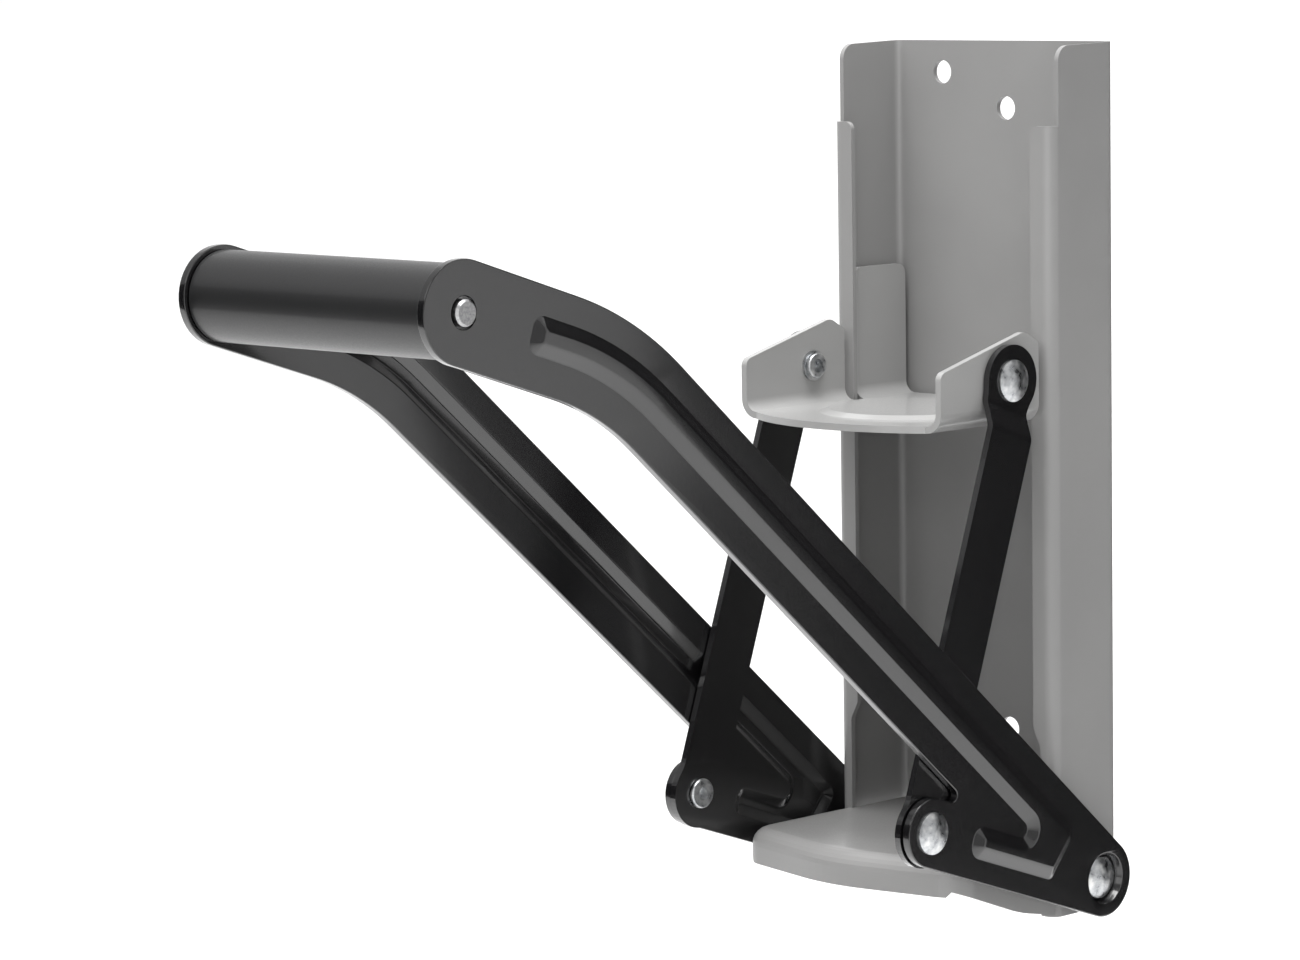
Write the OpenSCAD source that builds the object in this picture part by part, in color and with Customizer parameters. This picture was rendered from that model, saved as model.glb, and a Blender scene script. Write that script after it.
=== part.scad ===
// Wall-mounted lever can crusher, drawn with its lever about 36 degrees above level.
// X runs across the object, the wall is the plane Y = 0 and the front faces -Y.
// The origin lies on the wall face, level with the lever's frame pivots.

/* [Back channel] */
// Width of the channel over its side flanges
channel_w = 85; // [82:1:90]
// Height of the channel above the lever pivots
channel_top = 243; // [235:1:255]
// Reach of the channel below the lever pivots
channel_drop = 10; // [9.5:0.5:14]
// Depth of the plain stretches of the side flanges
flange_d = 25.4; // [24:0.2:26]
// Depth of the channel over its front lips
lip_d = 29; // [28:0.5:30]
// Reach of each lip inward from the outside of its flange
lip_w = 7.7; // [7:0.1:8.4]
// Height of the upper end of the lips
lip_top = 219.5; // [210:0.5:225]
// Height below which the lips are narrower
lip_step_z = 45; // [40:1:60]
// Amount by which the lips are narrower at the bottom
lip_step = 2.6; // [1.5:0.1:3]
// Thickness of the sheet of the channel and the base tray
sheet_t = 1.5; // [1.2:0.1:1.8]
// Outside radius of the channel's bends
bend_r = 3.5; // [3:0.1:3.6]
// Rounding of the top front corners of the flanges
flange_corner_r = 4.5; // [2:0.5:6]
// Rounding of the corners of the lips
lip_corner_r = 2.4; // [1:0.2:2.4]

/* [Wall screws] */
// Diameter of the screw holes in the back plate
screw_d = 7; // [5:0.5:8]
// Sideways distance between the two holes of a pair
screw_dx = 25; // [20:1:30]
// Height difference between the two holes of a pair
screw_dz = 10.4; // [6:0.2:14]
// Sideways place of the upper hole of a pair, to the left of the middle
screw_left = 23; // [16:1:26]
// Distance from the channel's top to the highest hole
screw_top_gap = 9.5; // [8:0.5:14]
// Height of the lower hole pair's highest hole above the lever pivots
screw_low_z = 48; // [40:1:60]

/* [Base tray] */
// Height of the tray's top above the lever pivots
tray_top = 12.5; // [11:0.5:16]
// Depth of the tray's straight sides from the wall
tray_side_d = 71; // [66:1:74]
// Depth of the tray's front corner point from the wall
tray_front_d = 80; // [76:1:84]
// Rounding of the tray's front corners in plan
tray_corner_r = 9.5; // [8:0.5:14]
// Rounding of the tray's upper edge
tray_nose_r = 5; // [3.5:0.5:6]
// Height of the lower edge of the tray's front skirt
tray_skirt_z = 2.3; // [1:0.1:4]
// Step up from the front skirt to the side skirts
tray_notch = 1.6; // [0.6:0.2:2.4]

/* [Press plate] */
// Sheet thickness of the press plate
press_t = 2; // [1.6:0.2:2.4]
// Gap between the press plate's sides and the inside of the channel
guide_gap = 2; // [1:0.2:3]
// Gap before and behind each lip in the press plate's slots
lip_gap = 1.6; // [0.8:0.2:2]
// Distance of the press plate's pivots from the wall
press_pivot_d = 44.5; // [43:0.5:47]
// Height of the press plate's pivots above its underside
press_pivot_h = 13.2; // [12:0.2:15]
// Depth of the front edge of the ears from the wall
ear_front_d = 72.6; // [68:0.5:76]
// Height of the front edge of the ears above the plate's underside
ear_front_h = 17; // [14:0.5:20]
// Height of the peak of the ears above the plate's underside
ear_peak_h = 26.6; // [24:0.5:32]
// Distance of the peak of the ears from the wall
ear_peak_d = 36.5; // [35:0.5:40]
// Height of the wings behind the lips above the plate's underside
wing_h = 41; // [36:1:46]
// Gap between the wings and the back plate
wing_back_gap = 1.9; // [1:0.1:4]
// Bulge of the plate's front edge beyond the ears
plate_bulge = 9.6; // [4:0.2:12]
// Inside radius of the press plate's bends
press_bend_r = 3.6; // [2:0.2:4.2]
// Radius of the raised disc in the plate
disc_r = 24; // [18:1:25]
// Height of the raised disc
disc_h = 1; // [0.4:0.2:1.4]

/* [Lever arms] */
// Distance of the lever's frame pivots from the wall
frame_pivot_d = 12.9; // [12:0.1:14]
// Distance from the frame pivots to the link pivots on the arms
crank_len = 79.1; // [76:0.1:84]
// Angle of the line through those pivots above level
crank_rise = 18.3; // [16:0.1:20]
// Distance from the frame pivots to the middle of the grip
lever_len = 307.5; // [290:0.5:330]
// Angle of the line from the frame pivots to the grip above level
lever_rise = 36.5; // [35.6:0.1:37.2]
// Slope of the long straight stretch of the arms
arm_slope = 41; // [40:0.5:42]
// Slope of the straight stretch of the arms at the grip
grip_slope = 18; // [16:0.5:20]
// Width of the arms
arm_w = 27.2; // [26:0.2:29]
// Sheet thickness of the arms
arm_t = 2.5; // [2:0.1:3]
// Radius of the arms' rounded ends at the frame
arm_end_r = 11.3; // [11:0.1:12.5]
// Radius of the arms' lobes round the link pivots
lobe_r = 9.8; // [9:0.1:10.4]
// Outside radius of the arms' bend near the grip
arm_bend_r = 106; // [90:1:120]
// Inside radius of the arms' bend near the grip
arm_inner_bend_r = 80; // [60:1:90]
// Radius of the notch between lobe and arm
notch_r = 1.8; // [1.2:0.1:2]
// Depth of the dimples at the frame pivots
dimple_h = 2.5; // [2:0.1:2.6]
// Radius of the dimples at the outside face
dimple_r = 7.4; // [7:0.1:8]

/* [Stiffening ribs] */
// Height of the pressed ribs on the arms
rib_h = 1.8; // [1:0.1:2.2]
// Plan width of each sloping rib side
rib_run = 3; // [2.6:0.1:3.2]
// Distance from the arms' upper edge to the rib
rib_up_gap = 7.6; // [7:0.1:8.4]
// Distance from the arms' lower edge to the rib
rib_lo_gap = 9; // [8.4:0.1:9.6]
// Distance from the middle of the grip to the rib
rib_start = 23.5; // [20:0.5:40]
// Distance from the frame pivots to the rib's heel
rib_end_gap = 20.6; // [19:0.1:23]
// Distance from the arms' bottom edge to the rib's foot
foot_gap = 6.3; // [5.6:0.1:6.8]
// Width of the rib's foot
foot_w = 9.5; // [9.2:0.1:10]
// Distance from the link pivots to the rib's toe
toe_gap = 17.5; // [16:0.5:20]

/* [Links] */
// Distance between the two pivots of a link
link_len = 130.7; // [126:0.1:136]
// Width of the links between their ends
link_w = 17.5; // [15:0.5:19]
// Radius of the links' round ends
link_end_r = 10.3; // [9.6:0.1:10.6]
// Sheet thickness of the links
link_t = 2; // [1.6:0.1:2.2]
// Gap between the channel and the links
link_gap = 0.9; // [0.6:0.1:1.2]
// Gap between the links and the arms
arm_gap = 0.4; // [0.3:0.05:0.8]
// Distance from the upper pivot to the start of the offset bend
joggle_start = 8; // [7.5:0.5:12]
// Length of the offset bend
joggle_len = 7; // [6:0.5:12]

/* [Rivets] */
// Diameter of the rivet shanks
shank_d = 6.4; // [5.4:0.2:6.8]
// Diameter of the rivet heads
head_d = 12; // [11:0.5:12.6]
// Height of the rivet heads
head_h = 2; // [1.6:0.1:2.2]
// Diameter of the rolled rivet tails
tail_d = 8.8; // [8.2:0.2:9.2]
// Height of the rolled rivet tails
tail_h = 1.5; // [1.2:0.1:1.7]
// Diameter of the hole in a rivet tail
tail_bore_d = 4; // [3:0.2:4.4]
// How far the press pivots' tails stand out around their shanks
press_tail_lip = 0.5; // [0.4:0.1:0.7]
// Diameter of the washers under the upper tails
washer_d = 9; // [8.6:0.2:9.4]
// Thickness of the washers under the upper tails
washer_t = 0.8; // [0.6:0.1:1]
// Diameter of the washers at the frame pivots
pivot_washer_d = 14.6; // [13:0.2:15]
// Thickness of the washers at the frame pivots
pivot_washer_t = 0.6; // [0.5:0.05:0.7]

/* [Grip] */
// Diameter of the grip tube
tube_d = 24.6; // [22:0.2:26]
// Wall of the grip tube
tube_wall = 1.2; // [0.8:0.1:1.6]
// Diameter of the rod through the grip
rod_d = 7; // [6:0.2:8]
// Diameter of the rod between the arms
rod_mid_d = 10; // [9:0.5:12]
// Length of rod that stands out beyond each arm
rod_out = 1.2; // [0.6:0.1:2]
// Diameter of the rod holes in the arms
rod_hole_d = 8.4; // [8.4:0.1:9.2]
// Length of the plugs in the ends of the tube
plug_len = 12; // [8:0.5:16]
// Wall of the plugs
plug_wall = 2; // [1.4:0.1:2.6]

/* [Hidden] */

$fn = 72;

// Every cut runs past the solid by this much
overrun = 2;
// Radial clearance of a turning fit
fit = 0.05;
// Gap between faces that slide on each other
face_gap = 0.1;
// Gap between the ears and the links
ear_gap = 0.3;
// Distance under which two points of an outline count as one
tiny = 0.001;
// Gap at each end of the grip tube
tube_end_gap = 0.4;
// Width and depth of the small bevels on the rod's ends
rod_bevel = 0.6;
// Slope of the flanges' top edges over their depth
flange_fall = 0.8;
// Rounding of the corners of the ears and wings
ear_corner_r = 2.5;
// Rounding of the wings' upper corners
wing_corner_r = 3;
// Run of the slope between the disc and the plate around it
disc_bevel = 3;
// Rounding of the rib's corners in plan
heel_r = 2.5;
shin_r = 4;
cuff_r = 3.5;
ankle_r = 2.2;
toe_r = 4;
// Difference between the radii of the dimple's rim and floor
dimple_taper = 0.7;
// Straight edge height of a rivet head below its dome
head_edge = 0.5;
// Depth of the hole in a rivet tail beyond the rolled collar
tail_bore_extra = 1;
// Rounding where a link's body meets its round ends
link_blend_r = 14;
// Rounding of the links' offset bend
joggle_r = 4;
// Distance of the rib's recess behind the rib's outline
rib_skin = 0.3;
// Rise of the edge from the foot of the lips' step to its top
lip_step_rise = 5;
// Rounding of the lips' step
lip_step_r = 3;
// Height of the ears' rear corners below their peak
ear_fall = 3.5;
// Rounding of the ears' peak
ear_peak_r = 4;
// Rounding of the inner corners of the press plate's slots
slot_r = 1.4;
// Distance between the ends of the plate's round front edge and its bends
plate_front_gap = 0.2;
// Distance from the wall to the middle of the disc
disc_d = 42;
// Rounding of the tray's front in plan
tray_front_r = 60;
// Distance from the tray's side corner points back to the notch in its skirt
tray_notch_back = 0.7;
// Run of the notch's slope
tray_notch_run = 1;
// Lower point of the side skirts' bent lower edge
tray_knee_d = 44;
tray_knee_z = -6;
tray_knee_r = 50;
// Height of the side skirts' rear corners above the channel's lower edge
tray_rear_rise = 1;
// Rounding of a rivet tail's rolled edge
roll_r = 0.6;
// Steps of the tray's rounded upper edge
nose_steps = 6;

// Shares of the rib's height and slope width at each of its layers, from the widest to the crown
RIB_RISE_SHARES = [0.35, 0.65, 0.87, 1];
RIB_RUN_SHARES = [0.1, 0.3, 0.55, 0.9];
// Share of a corner's rounding that an inward copy of an outline keeps at least
KEEP_SHARE = 0.3;
// Share of a tail's overhang that the rounding of its inner edge may take
UNDER_SHARE = 0.8;

// Radii of the rivets
head_r = head_d / 2;
shank_r = shank_d / 2;
dome_r = (head_r * head_r + pow(head_h - head_edge, 2)) / 2 / (head_h - head_edge);

// Distance from the wall to the notch in the tray's skirt
tray_notch_d = tray_side_d - tray_notch_back;

// Planes across the object, as distances from the middle
flange_in = channel_w / 2 - sheet_t;
press_side = flange_in - guide_gap;
lip_edge = channel_w / 2 - lip_w;
link_low_x = channel_w / 2 + link_gap;
link_high_x = press_side + ear_gap;
arm_x = link_low_x + link_t + arm_gap;
arm_out = arm_x + arm_t;
dimple_x = arm_x - dimple_h;

// Pivots as [Y, Z]
frame_pivot = [-frame_pivot_d, 0];
arm_pivot = frame_pivot + crank_len * dir(180 - crank_rise);
grip_axis = frame_pivot + lever_len * dir(180 - lever_rise);
press_pivot = [-press_pivot_d,
    arm_pivot[1] + sqrt(link_len * link_len - pow(arm_pivot[0] + press_pivot_d, 2))];
plate_z = press_pivot[1] - press_pivot_h;

// Directions of the arms' edges, as the angles of their outward normals
up_dir = 90 - arm_slope;
grip_up_dir = 90 - grip_slope;
crank_dir = angle_of(frame_pivot - arm_pivot);
crank_lean = acos((lobe_r - arm_end_r) / crank_len);
low_dir = crank_dir - crank_lean;
lobe_up_dir = crank_dir + crank_lean;

// Distances of the arms' edges from the origin along those normals
arm_up = dir(up_dir) * frame_pivot + arm_end_r;
arm_lo = arm_up - arm_w;
grip_up = dir(grip_up_dir) * grip_axis + arm_w / 2;
grip_lo = grip_up - arm_w;
arm_bottom = dir(low_dir) * frame_pivot + arm_end_r;
lobe_up = dir(lobe_up_dir) * arm_pivot + lobe_r;

// Corners as [point, rounding radius, steps], anticlockwise, in Y and Z
ARM_CORNERS = [
    for (i = [0:2]) [wrap_corner(frame_pivot, arm_end_r, third(low_dir, up_dir, i),
        third(low_dir, up_dir, i + 1)), arm_end_r, 10],
    [meet(up_dir, arm_up, grip_up_dir, grip_up), arm_bend_r, 14],
    [wrap_corner(grip_axis, arm_w / 2, grip_up_dir, grip_up_dir + 90), arm_w / 2, 14],
    [wrap_corner(grip_axis, arm_w / 2, grip_up_dir + 90, grip_up_dir + 180), arm_w / 2, 14],
    [meet(grip_up_dir + 180, -grip_lo, up_dir + 180, -arm_lo), arm_inner_bend_r, 14],
    [meet(up_dir + 180, -arm_lo, lobe_up_dir, lobe_up), notch_r, 12],
    for (i = [0:1]) [wrap_corner(arm_pivot, lobe_r, half_way(lobe_up_dir, low_dir + 360, i),
        half_way(lobe_up_dir, low_dir + 360, i + 1)), lobe_r, 14]];

rib_up = arm_up - rib_up_gap;
rib_lo = arm_lo + rib_lo_gap;
rib_grip_up = grip_up - rib_up_gap;
rib_grip_lo = grip_lo + rib_lo_gap;
rib_sole = arm_bottom - foot_gap;
rib_heel = dir(-arm_slope) * frame_pivot - rib_end_gap;
rib_cuff = dir(grip_up_dir + 90) * grip_axis - rib_start;
rib_toe = dir(low_dir - 90) * arm_pivot - toe_gap;

RIB_CORNERS = [
    [meet(low_dir, rib_sole, -arm_slope, rib_heel), heel_r, 4],
    [meet(-arm_slope, rib_heel, up_dir, rib_up), shin_r, 4],
    [meet(up_dir, rib_up, grip_up_dir, rib_grip_up), arm_bend_r - rib_up_gap, 10],
    [meet(grip_up_dir, rib_grip_up, grip_up_dir + 90, rib_cuff), cuff_r, 4],
    [meet(grip_up_dir + 90, rib_cuff, grip_up_dir + 180, -rib_grip_lo), cuff_r, 4],
    [meet(grip_up_dir + 180, -rib_grip_lo, up_dir + 180, -rib_lo),
        arm_inner_bend_r + rib_lo_gap, 10],
    [meet(up_dir + 180, -rib_lo, low_dir + 180, foot_w - rib_sole), ankle_r, 8],
    [meet(low_dir + 180, foot_w - rib_sole, low_dir - 90, rib_toe), toe_r, 4],
    [meet(low_dir - 90, rib_toe, low_dir, rib_sole), toe_r, 4]];

function dir(a) = [cos(a), sin(a)];
function angle_of(v) = atan2(v[1], v[0]);
function third(a, b, i) = a + (b - a) * i / 3;
function half_way(a, b, i) = a + (b - a) * i / 2;

// Point where two lines meet, each given by its normal's angle and its distance
function meet(a, p, b, q) = [p * sin(b) - q * sin(a), q * cos(a) - p * cos(b)] / sin(b - a);

// Point where two tangents of a circle meet, given by their normals' angles
function wrap_corner(c, r, a, b) = c + r / cos((b - a) / 2) * dir((a + b) / 2);

// Points of the arc that rounds the corner p between its neighbours a and b
function fillet(a, p, b, r, steps) = r == 0 ? [p] :
    let (u = (a - p) / norm(a - p))
    let (w = (b - p) / norm(b - p))
    let (half = acos(u * w) / 2)
    let (c = p + (u + w) / norm(u + w) * r / sin(half))
    let (turn = cross(w, u) > 0 ? 180 - 2 * half : 2 * half - 180)
    let (start = angle_of(p + u * r / tan(half) - c))
    [for (i = [0:steps]) c + r * dir(start + turn * i / steps)];

// Points of a closed outline with rounded corners
function outline(v) = let (n = len(v)) distinct([for (i = [0:n - 1])
    each fillet(v[(i + n - 1) % n][0], v[i][0], v[(i + 1) % n][0], v[i][1], v[i][2])]);

// The same points without any that lies on the next one
function distinct(p) = let (n = len(p)) [for (i = [0:n - 1])
    if (norm(p[i] - p[(i + 1) % n]) > tiny) p[i]];

// Left normal of the line from a to b
function left_of(a, b) = [a[1] - b[1], b[0] - a[0]] / norm(b - a);

// Corners of the same outline moved inward by d
function inset(v, d) = let (n = len(v)) [for (i = [0:n - 1])
    let (p = v[i][0])
    let (s = left_of(v[(i + n - 1) % n][0], p))
    let (t = left_of(p, v[(i + 1) % n][0]))
    let (r = v[i][1])
    let (r_in = cross(s, t) > 0 ? max(r - d, r * KEEP_SHARE) : r + d)
    [p + d * (s + t) / (1 + s * t), r_in, v[i][2]]];

// Closed solid through rings of equally many points, each at its own height
module loft(rings, heights) {
    n = len(rings[0]);
    last = len(rings) - 1;
    polyhedron(
        points = [for (k = [0:last]) for (p = rings[k]) [p[0], p[1], heights[k]]],
        faces = [
            [for (i = [0:n - 1]) i],
            [for (i = [n - 1:-1:0]) last * n + i],
            for (k = [0:last - 1]) for (i = [0:n - 1]) let (j = (i + 1) % n)
                [k * n + i, k * n + n + i, k * n + n + j, k * n + j]]);
}

// Stands a drawing of Y and Z at distance x from the middle, growing outward
module at_side(x) {
    translate([x, 0, 0]) rotate([90, 0, 90]) children();
}

// Stands a turned piece on a pivot, with its axis pointing outward
module on_pivot(pivot, x) {
    translate([x, pivot[0], pivot[1]]) rotate([0, 90, 0]) children();
}

module left_hand() {
    mirror([1, 0, 0]) children();
}

// Rectangle from corner a to corner b with all its corners rounded
module round_rect(a, b, r) {
    size = b - a;
    translate(a + [0, r]) square([size[0], size[1] - 2 * r]);
    translate(a + [r, 0]) square([size[0] - 2 * r, size[1]]);
    for (x = [a[0] + r, b[0] - r]) for (y = [a[1] + r, b[1] - r])
        translate([x, y]) circle(r = r);
}

// Section of the channel from above
module channel_section() {
    half = channel_w / 2;
    difference() {
        round_rect([-half, -lip_d], [half, 0], bend_r);
        round_rect([-flange_in, sheet_t - lip_d], [flange_in, -sheet_t], bend_r - sheet_t);
        translate([-lip_edge, -lip_d - overrun]) square([2 * lip_edge, sheet_t + 2 * overrun]);
    }
}

// Side view of the channel
FLANGE_CORNERS = [
    [[-lip_d - overrun, -channel_drop - overrun], 0, 0],
    [[overrun, -channel_drop - overrun], 0, 0],
    [[overrun, channel_top], 0, 0],
    [[-flange_d, channel_top - flange_fall], flange_corner_r, 12],
    [[-flange_d, lip_top], 0, 0],
    [[-lip_d - overrun, lip_top], 0, 0]];

// Right half of the opening between the lips, in X and Z
OPENING_CORNERS = [
    [[0, -channel_drop - overrun], 0, 0],
    [[lip_edge + lip_step, -channel_drop - overrun], 0, 0],
    [[lip_edge + lip_step, lip_step_z - lip_step_rise], lip_step_r, 6],
    [[lip_edge, lip_step_z], lip_step_r, 6],
    [[lip_edge, lip_top], lip_corner_r, 8],
    [[channel_w, lip_top], 0, 0],
    [[channel_w, channel_top + overrun], 0, 0],
    [[0, channel_top + overrun], 0, 0]];

// Screw holes as [X, Z]
SCREWS = [
    for (z = [channel_top - screw_top_gap, screw_low_z])
        each [[-screw_left, z], [screw_dx - screw_left, z - screw_dz]]];

// Tray from above; its rear edge runs on behind the lips' front faces
TRAY_CORNERS = [
    [[-channel_w / 2, -tray_side_d], tray_corner_r, 12],
    [[0, -tray_front_d], tray_front_r, 8],
    [[channel_w / 2, -tray_side_d], tray_corner_r, 12],
    [[channel_w / 2, -lip_d + 2 * tray_nose_r], 0, 0],
    [[-channel_w / 2, -lip_d + 2 * tray_nose_r], 0, 0]];

// What the tray's lower edge leaves off, from the side
SKIRT_CORNERS = [
    [[-tray_front_d - overrun, -channel_drop - 3 * overrun], 0, 0],
    [[overrun, -channel_drop - 3 * overrun], 0, 0],
    [[overrun, -channel_drop + tray_rear_rise], 0, 0],
    [[-lip_d, -channel_drop + tray_rear_rise], 0, 0],
    [[-tray_knee_d, tray_knee_z], tray_knee_r, 8],
    [[-tray_notch_d, tray_skirt_z + tray_notch], 0, 0],
    [[-tray_notch_d - tray_notch_run, tray_skirt_z], 0, 0],
    [[-tray_front_d - overrun, tray_skirt_z], 0, 0]];

// Front and rear ends of the slots that let the press plate pass the lips
slot_front = lip_d + lip_gap;
slot_back = lip_d - sheet_t - lip_gap;
wing_back = sheet_t + wing_back_gap;
press_out_r = press_bend_r + press_t;

// Half width of the flat plate between its bends, and the radius of its round front edge
press_flat = press_side - press_out_r;
plate_front_r = (press_flat * press_flat + plate_bulge * plate_bulge) / 2 / plate_bulge;

EAR_CORNERS = [
    [[-ear_front_d, plate_z - overrun], 0, 0],
    [[-slot_front, plate_z - overrun], 0, 0],
    [[-slot_front, plate_z + ear_peak_h - ear_fall], ear_corner_r / 2, 6],
    [[-ear_peak_d, plate_z + ear_peak_h], ear_peak_r, 8],
    [[-ear_front_d, plate_z + ear_front_h], ear_corner_r, 8]];

WING_CORNERS = [
    [[-slot_back, plate_z - overrun], 0, 0],
    [[-wing_back, plate_z - overrun], 0, 0],
    [[-wing_back, plate_z + wing_h], wing_corner_r, 8],
    [[-slot_back, plate_z + wing_h], wing_corner_r, 8]];

SLOT_CORNERS = [
    [[lip_edge - lip_gap, -slot_front], slot_r, 6],
    [[channel_w, -slot_front], 0, 0],
    [[channel_w, -slot_back], 0, 0],
    [[lip_edge - lip_gap, -slot_back], slot_r, 6]];

// Link from the side, with its upper pivot at the origin and its lower one along +X
link_dir = angle_of(arm_pivot - press_pivot);
blend_run = sqrt(pow(link_end_r + link_blend_r, 2) - pow(link_w / 2 + link_blend_r, 2));
blend_dir = atan2(link_w / 2 + link_blend_r, blend_run);
LINK_END = [
    for (i = [0:4]) [blend_run, -link_w / 2 - link_blend_r]
        + link_blend_r * dir(90 + (90 - blend_dir) * i / 4),
    for (i = [1:31]) link_end_r * dir(-blend_dir - (360 - 2 * blend_dir) * i / 32),
    for (i = [0:4]) [blend_run, link_w / 2 + link_blend_r]
        + link_blend_r * dir(180 + blend_dir + (90 - blend_dir) * i / 4)];

// Edge view of a link along its length, with distances from the middle as heights
LINK_STRIP = [
    [[-2 * link_end_r, link_high_x], 0, 0],
    [[joggle_start, link_high_x], joggle_r, 6],
    [[joggle_start + joggle_len, link_low_x], joggle_r, 6],
    [[link_len + 2 * link_end_r, link_low_x], 0, 0],
    [[link_len + 2 * link_end_r, link_low_x + link_t], 0, 0],
    [[joggle_start + joggle_len, link_low_x + link_t], joggle_r, 6],
    [[joggle_start, link_high_x + link_t], joggle_r, 6],
    [[-2 * link_end_r, link_high_x + link_t], 0, 0]];

// Half outline of a rivet's head, from the middle outward
HEAD_POINTS = [
    for (i = [0:8]) let (x = head_r * i / 8) [x, head_h - dome_r + sqrt(dome_r * dome_r - x * x)],
    [head_r, 0],
    [shank_r, 0]];

// Half outline of a shank of the given reach and its rolled tail, down to the middle
function tail_points(reach, tail_r) = let (under_r = min(roll_r, UNDER_SHARE * (tail_r - shank_r))) concat(
    [[shank_r, -reach]],
    fillet([shank_r, -reach], [tail_r, -reach], [tail_r, -reach - tail_h], under_r, 5),
    fillet([tail_r, -reach], [tail_r, -reach - tail_h], [0, -reach - tail_h], roll_r, 5),
    [[tail_bore_d / 2, -reach - tail_h],
    [tail_bore_d / 2, -reach + tail_bore_extra],
    [0, -reach + tail_bore_extra]]);

module rivet(reach, tail_r) {
    rotate_extrude() polygon(concat(HEAD_POINTS, tail_points(reach, tail_r)));
}

module washer(d, t) {
    difference() {
        cylinder(d = d, h = t);
        translate([0, 0, -overrun]) cylinder(r = shank_r, h = t + 2 * overrun);
    }
}

// Bore along X through the whole object
module cross_bore(pivot, r) {
    on_pivot(pivot, -channel_w) cylinder(r = r, h = 2 * channel_w);
}

// Stretch across the whole object of a side view
module across() {
    at_side(-channel_w) linear_extrude(2 * channel_w) children();
}

module frame_channel() {
    color("#939392") difference() {
        intersection() {
            translate([0, 0, -channel_drop])
                linear_extrude(channel_top + channel_drop) channel_section();
            across() polygon(outline(FLANGE_CORNERS));
        }
        for (side = [0, 1]) mirror([side, 0, 0]) translate([0, -flange_d, 0]) rotate([90, 0, 0])
            linear_extrude(lip_d + overrun - flange_d) polygon(outline(OPENING_CORNERS));
        for (p = SCREWS) translate([p[0], overrun, p[1]]) rotate([90, 0, 0])
            cylinder(d = screw_d, h = sheet_t + 2 * overrun);
        cross_bore(frame_pivot, shank_r);
    }
}

// Closed tray shape whose upper edge is rounded, smaller than the tray by d all round
module tray_shape(d) {
    nose = tray_nose_r - d;
    turns = [for (i = [0:nose_steps]) 90 * i / nose_steps];
    loft(
        [outline(inset(TRAY_CORNERS, d)),
            for (a = turns) outline(inset(TRAY_CORNERS, d + nose * (1 - cos(a))))],
        [-channel_drop - 2 * overrun, for (a = turns) tray_top - tray_nose_r + nose * sin(a)]);
}

module base_tray() {
    color("#939392") {
        difference() {
            tray_shape(0);
            tray_shape(sheet_t);
            translate([-channel_w, -lip_d, -2 * channel_drop])
                cube([2 * channel_w, channel_w, 2 * channel_drop + tray_top + overrun]);
            across() polygon(outline(SKIRT_CORNERS));
        }
        translate([-lip_edge - lip_step, -lip_d - tray_nose_r, tray_top - sheet_t])
            cube([2 * (lip_edge + lip_step), lip_d + tray_nose_r - sheet_t, sheet_t]);
    }
}

module press_plate() {
    half = press_side;
    inner = half - press_t;
    top = plate_z + 2 * wing_h;
    color("#9b9b9a") difference() {
        union() {
            intersection() {
                translate([0, -wing_back, 0]) rotate([90, 0, 0])
                    linear_extrude(ear_front_d - wing_back) difference() {
                        round_rect([-half, plate_z], [half, top], press_out_r);
                        round_rect([-inner, plate_z + press_t], [inner, top + press_t],
                            press_bend_r);
                    }
                across() {
                    polygon(outline(EAR_CORNERS));
                    polygon(outline(WING_CORNERS));
                    translate([-ear_front_d, plate_z - overrun])
                        square([ear_front_d, press_t + overrun]);
                }
            }
            translate([0, 0, plate_z]) linear_extrude(press_t) intersection() {
                translate([0, plate_front_r - ear_front_d - plate_bulge]) circle(r = plate_front_r);
                translate([plate_front_gap - press_flat, -2 * ear_front_d])
                    square([2 * (press_flat - plate_front_gap), ear_front_d + overrun]);
            }
            translate([0, -disc_d, plate_z + press_t])
                cylinder(r1 = disc_r + disc_bevel, r2 = disc_r, h = disc_h);
        }
        translate([0, -disc_d, plate_z - overrun])
            cylinder(r = disc_r - disc_bevel, h = disc_h + overrun);
        for (side = [0, 1]) mirror([side, 0, 0]) translate([0, 0, plate_z - overrun])
            linear_extrude(2 * wing_h) polygon(outline(SLOT_CORNERS));
        cross_bore(press_pivot, shank_r);
    }
}

// Layers of the rib from inside the sheet up, smaller than its outline by d all round
module rib_shape(d, depth) {
    for (k = [0:len(RIB_RISE_SHARES) - 1])
        translate([0, 0, -depth]) linear_extrude(depth + rib_h * RIB_RISE_SHARES[k])
            polygon(outline(inset(RIB_CORNERS, d + rib_run * RIB_RUN_SHARES[k])));
}

module lever_arm() {
    color("#1b1b1c") difference() {
        union() {
            at_side(arm_x) linear_extrude(arm_t) polygon(outline(ARM_CORNERS));
            at_side(arm_out) rib_shape(0, arm_t / 2);
            on_pivot(frame_pivot, dimple_x)
                cylinder(r1 = dimple_r, r2 = dimple_r + dimple_taper * 2, h = dimple_h + arm_t / 2);
        }
        at_side(arm_x) rib_shape(rib_skin, overrun);
        on_pivot(frame_pivot, arm_out - dimple_h)
            cylinder(r1 = dimple_r - dimple_taper, r2 = dimple_r + dimple_taper * overrun / dimple_h,
                h = dimple_h + overrun);
        cross_bore(frame_pivot, shank_r + fit);
        cross_bore(arm_pivot, shank_r);
        cross_bore(grip_axis, rod_hole_d / 2);
    }
}

module lever_arm_right() {
    lever_arm();
}

module lever_arm_left() {
    left_hand() lever_arm();
}

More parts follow.
